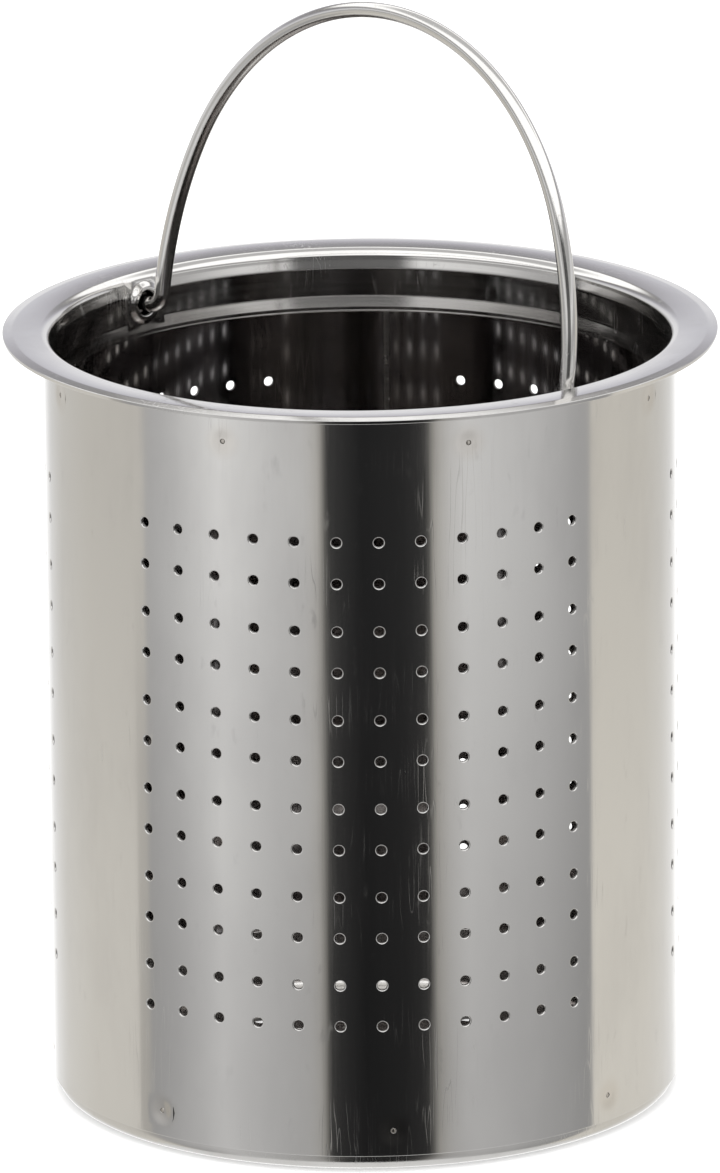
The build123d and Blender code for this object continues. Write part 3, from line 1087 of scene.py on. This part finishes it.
# %% [markdown]
# ## The studio
# Polished metal shows its surroundings more than itself, so the studio is part of the look. It is a plain
# light tent: pale floor, white overhead, soft grey cards left and right, warm walls further back, and a
# dark gap in front where the camera looks in. The cards stand close, so the reflection changes with height
# as it really does. Their light is listed band by band, by direction. The metal sees only this tent: the
# floor and the softbox are left out of its reflections, and the camera sees no tent.

# %% Camera
VIEW_AZIMUTH = math.radians(-45)
CAMERA_DISTANCE = 2.4262
CAMERA_HEIGHT_ANGLE = math.radians(15.782)
CAMERA_ROLL = math.radians(0.4908)
toward = Vector((math.cos(VIEW_AZIMUTH), math.sin(VIEW_AZIMUTH), 0))
right = Vector((-toward.y, toward.x, 0))
target = Vector((0, 0, 0.07814)) - right * 0.00034
direction = toward * math.cos(CAMERA_HEIGHT_ANGLE) + Vector((0, 0, math.sin(CAMERA_HEIGHT_ANGLE)))
level_up = direction.cross(right)
camera_right = right * math.cos(CAMERA_ROLL) - level_up * math.sin(CAMERA_ROLL)
camera_up = direction.cross(camera_right)
camera_data = bpy.data.cameras.new("studio_camera")
camera_data.lens = 489.63
camera_data.sensor_width = 36
camera_data.clip_start = 0.05
camera_data.clip_end = 50
camera = bpy.data.objects.new("studio_camera", camera_data)
bpy.context.scene.collection.objects.link(camera)
turned_axes = Matrix((camera_right, camera_up, direction)).transposed().to_4x4()
camera.matrix_world = Matrix.Translation(target + direction * CAMERA_DISTANCE) @ turned_axes
bpy.context.scene.camera = camera
print("camera at", [round(value, 3) for value in camera.matrix_world.translation])


# %% Floor and light
def stage_mesh(name, points, faces, material):
    """A part of the studio, which is not part of the basket."""
    mesh = bpy.data.meshes.new(name)
    mesh.from_pydata(points, [], faces)
    mesh.materials.append(material)
    thing = bpy.data.objects.new(name, mesh)
    bpy.context.scene.collection.objects.link(thing)
    return thing


def floor_paint():
    """Plain pale paint with a faint unevenness, clear from below so that the pan can be looked at."""
    material = bpy.data.materials.new("pale_floor")
    material.use_nodes = True
    tree = material.node_tree
    shader = tree.nodes["Principled BSDF"]
    place = tree.nodes.new("ShaderNodeTexCoord").outputs["Object"]
    grain = noise(tree, place, 3.0, 3.0)
    tree.links.new(remap(tree, grain, 0.3, 0.7, 0.78, 0.84), shader.inputs["Roughness"])
    shader.inputs["Base Color"].default_value = (0.9, 0.9, 0.9, 1)
    shader.inputs["Specular IOR Level"].default_value = 0.0
    shader.inputs["Emission Color"].default_value = (1, 1, 1, 1)
    shader.inputs["Emission Strength"].default_value = 0.35
    mix = tree.nodes.new("ShaderNodeMixShader")
    tree.links.new(tree.nodes.new("ShaderNodeNewGeometry").outputs["Backfacing"], mix.inputs["Fac"])
    tree.links.new(shader.outputs[0], mix.inputs[1])
    tree.links.new(tree.nodes.new("ShaderNodeBsdfTransparent").outputs[0], mix.inputs[2])
    tree.links.new(mix.outputs[0], tree.nodes["Material Output"].inputs["Surface"])
    return material


FLOOR_REACH = 8
FLOOR_GAP = 0.00005
FLOOR_SIDES = 96
turns = [2 * math.pi * number / FLOOR_SIDES for number in range(FLOOR_SIDES)]
floor_points = [(FLOOR_REACH * math.cos(t), FLOOR_REACH * math.sin(t), -FLOOR_GAP) for t in turns]
floor = stage_mesh("studio_floor", floor_points, [tuple(range(FLOOR_SIDES))], floor_paint())
floor.visible_glossy = False
overhead_data = bpy.data.lights.new("overhead_softbox", "AREA")
overhead_data.energy = 14
overhead_data.size = 1.6
overhead = bpy.data.objects.new("overhead_softbox", overhead_data)
overhead.location = (0, 0, 1.6)
overhead.visible_glossy = False
bpy.context.scene.collection.objects.link(overhead)

# %% Light tent
TENT_R = 0.8
TENT_TOP = 0.11
TENT_BOTTOM = -0.95
SHADED_SPAN = (-0.21, -0.11)
CARD_END = 89
# each stop is an angle from the camera's side in degrees, a light, and a warmth
TENT_STOPS = [
    (-180, 1.7, 0.0), (-164, 1.2, 0.0), (-153, 0.92, 0.1), (-138, 0.80, 0.6), (-115, 0.765, 0.9),
    (-92, 0.76, 0.9), (-84.4, 0.75, 0.9), (-83.4, 0.61, 0.0), (-71, 0.74, 0.0), (-59, 0.92, 0.0),
    (-52, 1.06, 0.0), (-42, 0.93, 0.0), (-31, 0.81, 0.0), (-20, 0.74, 0.1), (-15.6, 0.66, 0.6),
    (-14.4, 0.54, 1.0), (-13.2, 0.06, 0.0), (0, 0.022, -0.4), (14, 0.03, -0.2), (23.6, 0.05, 0.0),
    (25.4, 0.56, 0.9), (31, 0.76, 0.2), (37, 0.88, 0.0), (52, 0.80, 0.0), (66, 0.715, 0.0),
    (78, 0.616, 0.0), (89, 0.53, 0.0), (90, 0.83, 1.1), (122, 0.80, 1.0), (138, 0.84, 0.6),
    (150, 0.95, 0.2), (163, 1.35, 0.0),
]


def tent_cloth():
    """Light of the tent's wall by direction and height; warmth tints a card towards beige."""
    material = bpy.data.materials.new("tent_cloth")
    tree, surface = empty_tree(material, "ShaderNodeOutputMaterial")
    glow = tree.nodes.new("ShaderNodeEmission")
    tree.links.new(glow.outputs[0], surface)
    parts, azimuth, share = by_direction(tree, tree.nodes.new("ShaderNodeTexCoord").outputs["Object"])
    stops = [(angle, (light * (1 + 0.035 * warmth), light, light * (1 - 0.075 * warmth)))
             for angle, light, warmth in TENT_STOPS]
    tree.links.new(filled_ramp(tree, share, stops, -180, 180), glow.inputs["Color"])
    card_light = remap(tree, parts[2], *SHADED_SPAN, 0.76, 1.0, smooth=False)
    wall_light = remap(tree, parts[2], *SHADED_SPAN, 1.10, 0.96, smooth=False)
    from_front = math_node(tree, "ABSOLUTE", azimuth)
    beyond_cards = math_node(tree, "GREATER_THAN", from_front, math.radians(CARD_END))
    strength = tree.nodes.new("ShaderNodeMix")
    tree.links.new(beyond_cards, strength.inputs["Factor"])
    tree.links.new(card_light, strength.inputs["A"])
    tree.links.new(wall_light, strength.inputs["B"])
    tree.links.new(strength.outputs["Result"], glow.inputs["Strength"])
    return material


TENT_SIDES = 128
around = [2 * math.pi * number / TENT_SIDES for number in range(TENT_SIDES)]
tent_points = [(TENT_R * math.cos(t), TENT_R * math.sin(t), height)
               for height in (TENT_BOTTOM, TENT_TOP) for t in around]
tent_faces = [(k, (k + 1) % TENT_SIDES, TENT_SIDES + (k + 1) % TENT_SIDES, TENT_SIDES + k)
              for k in range(TENT_SIDES)]
tent = stage_mesh("light_tent", tent_points, tent_faces, tent_cloth())
tent.rotation_euler = (0, 0, VIEW_AZIMUTH)
tent.visible_camera = False
tent.visible_diffuse = False
tent.visible_shadow = False


# %% Upper part of the tent
HORIZON_STOPS = [
    (-180, 1.15), (-100, 1.1), (-80, 1.05), (-22, 1.1), (-15, 0.20), (24, 0.20), (28, 1.1), (80, 1.05),
    (100, 1.1), (180, 1.15),
]
BACK_STOPS = [(0, (0.85, 0.85, 0.86)), (11, (0.89, 0.89, 0.92)), (15, (0.68, 0.68, 0.74)),
              (18, (0.50, 0.49, 0.53)), (22, (0.35, 0.35, 0.37)), (27, (0.31, 0.30, 0.29))]
CEILING = 1.7
OVERHEAD = 0.75
TABLE_GLOW = 1.0


def mirrored_light(tree):
    """Light that the metal reflects from above and below the tent's wall."""
    turned = stretched(tree, tree.nodes.new("ShaderNodeTexCoord").outputs["Generated"], (1, 1, 1),
                       (0, 0, -math.degrees(VIEW_AZIMUTH)))
    parts, azimuth, share = by_direction(tree, turned)
    elevation = math_node(tree, "MULTIPLY", math_node(tree, "ARCSINE", parts[2]), 180 / math.pi)
    low = filled_ramp(tree, share, HORIZON_STOPS, -180, 180)
    fall = filled_ramp(tree, remap(tree, elevation, 0, 40, 0, 1, smooth=False), BACK_STOPS, 0, 40)
    behind = remap(tree, math_node(tree, "ABSOLUTE", azimuth), math.radians(85), math.radians(105), 0.0, 1.0)
    wall = blend_colour(tree, behind, low, blend_colour(tree, 1.0, low, fall, "MULTIPLY"))
    rising = remap(tree, elevation, 5.0, 8.0, 0.5, 1.0)
    falling = remap(tree, elevation, 11.0, 16.0, 1.0, 0.5)
    front = blend_colour(tree, 1.0, wall, math_node(tree, "MULTIPLY", rising, falling), "MULTIPLY")
    wall = blend_colour(tree, behind, front, wall)
    below = remap(tree, elevation, -54.0, -44.0, 1.0, 0.0)
    wall = blend_colour(tree, below, wall, grey(TABLE_GLOW))
    overhead = math_node(tree, "MULTIPLY", remap(tree, elevation, 40.0, 50.0, 0.0, 1.0), behind)
    ceiling = blend_colour(tree, overhead, grey(CEILING), grey(OVERHEAD))
    return blend_colour(tree, remap(tree, elevation, 27.0, 31.0, 0.0, 1.0), wall, ceiling)


def light_world():
    """Plain white to the camera, and the tent's upper and lower parts to the metal."""
    world = bpy.data.worlds.new("tent_ceiling")
    tree, surface = empty_tree(world, "ShaderNodeOutputWorld")
    seen = tree.nodes.new("ShaderNodeBackground")
    seen.inputs["Color"].default_value = (1, 1, 1, 1)
    mirrored = tree.nodes.new("ShaderNodeBackground")
    tree.links.new(mirrored_light(tree), mirrored.inputs["Color"])
    mix = tree.nodes.new("ShaderNodeMixShader")
    tree.links.new(tree.nodes.new("ShaderNodeLightPath").outputs["Is Glossy Ray"], mix.inputs["Fac"])
    tree.links.new(seen.outputs[0], mix.inputs[1])
    tree.links.new(mirrored.outputs[0], mix.inputs[2])
    tree.links.new(mix.outputs[0], surface)
    return world


bpy.context.scene.world = light_world()
bpy.context.scene.view_settings.view_transform = "Standard"
bpy.context.scene.view_settings.look = "None"
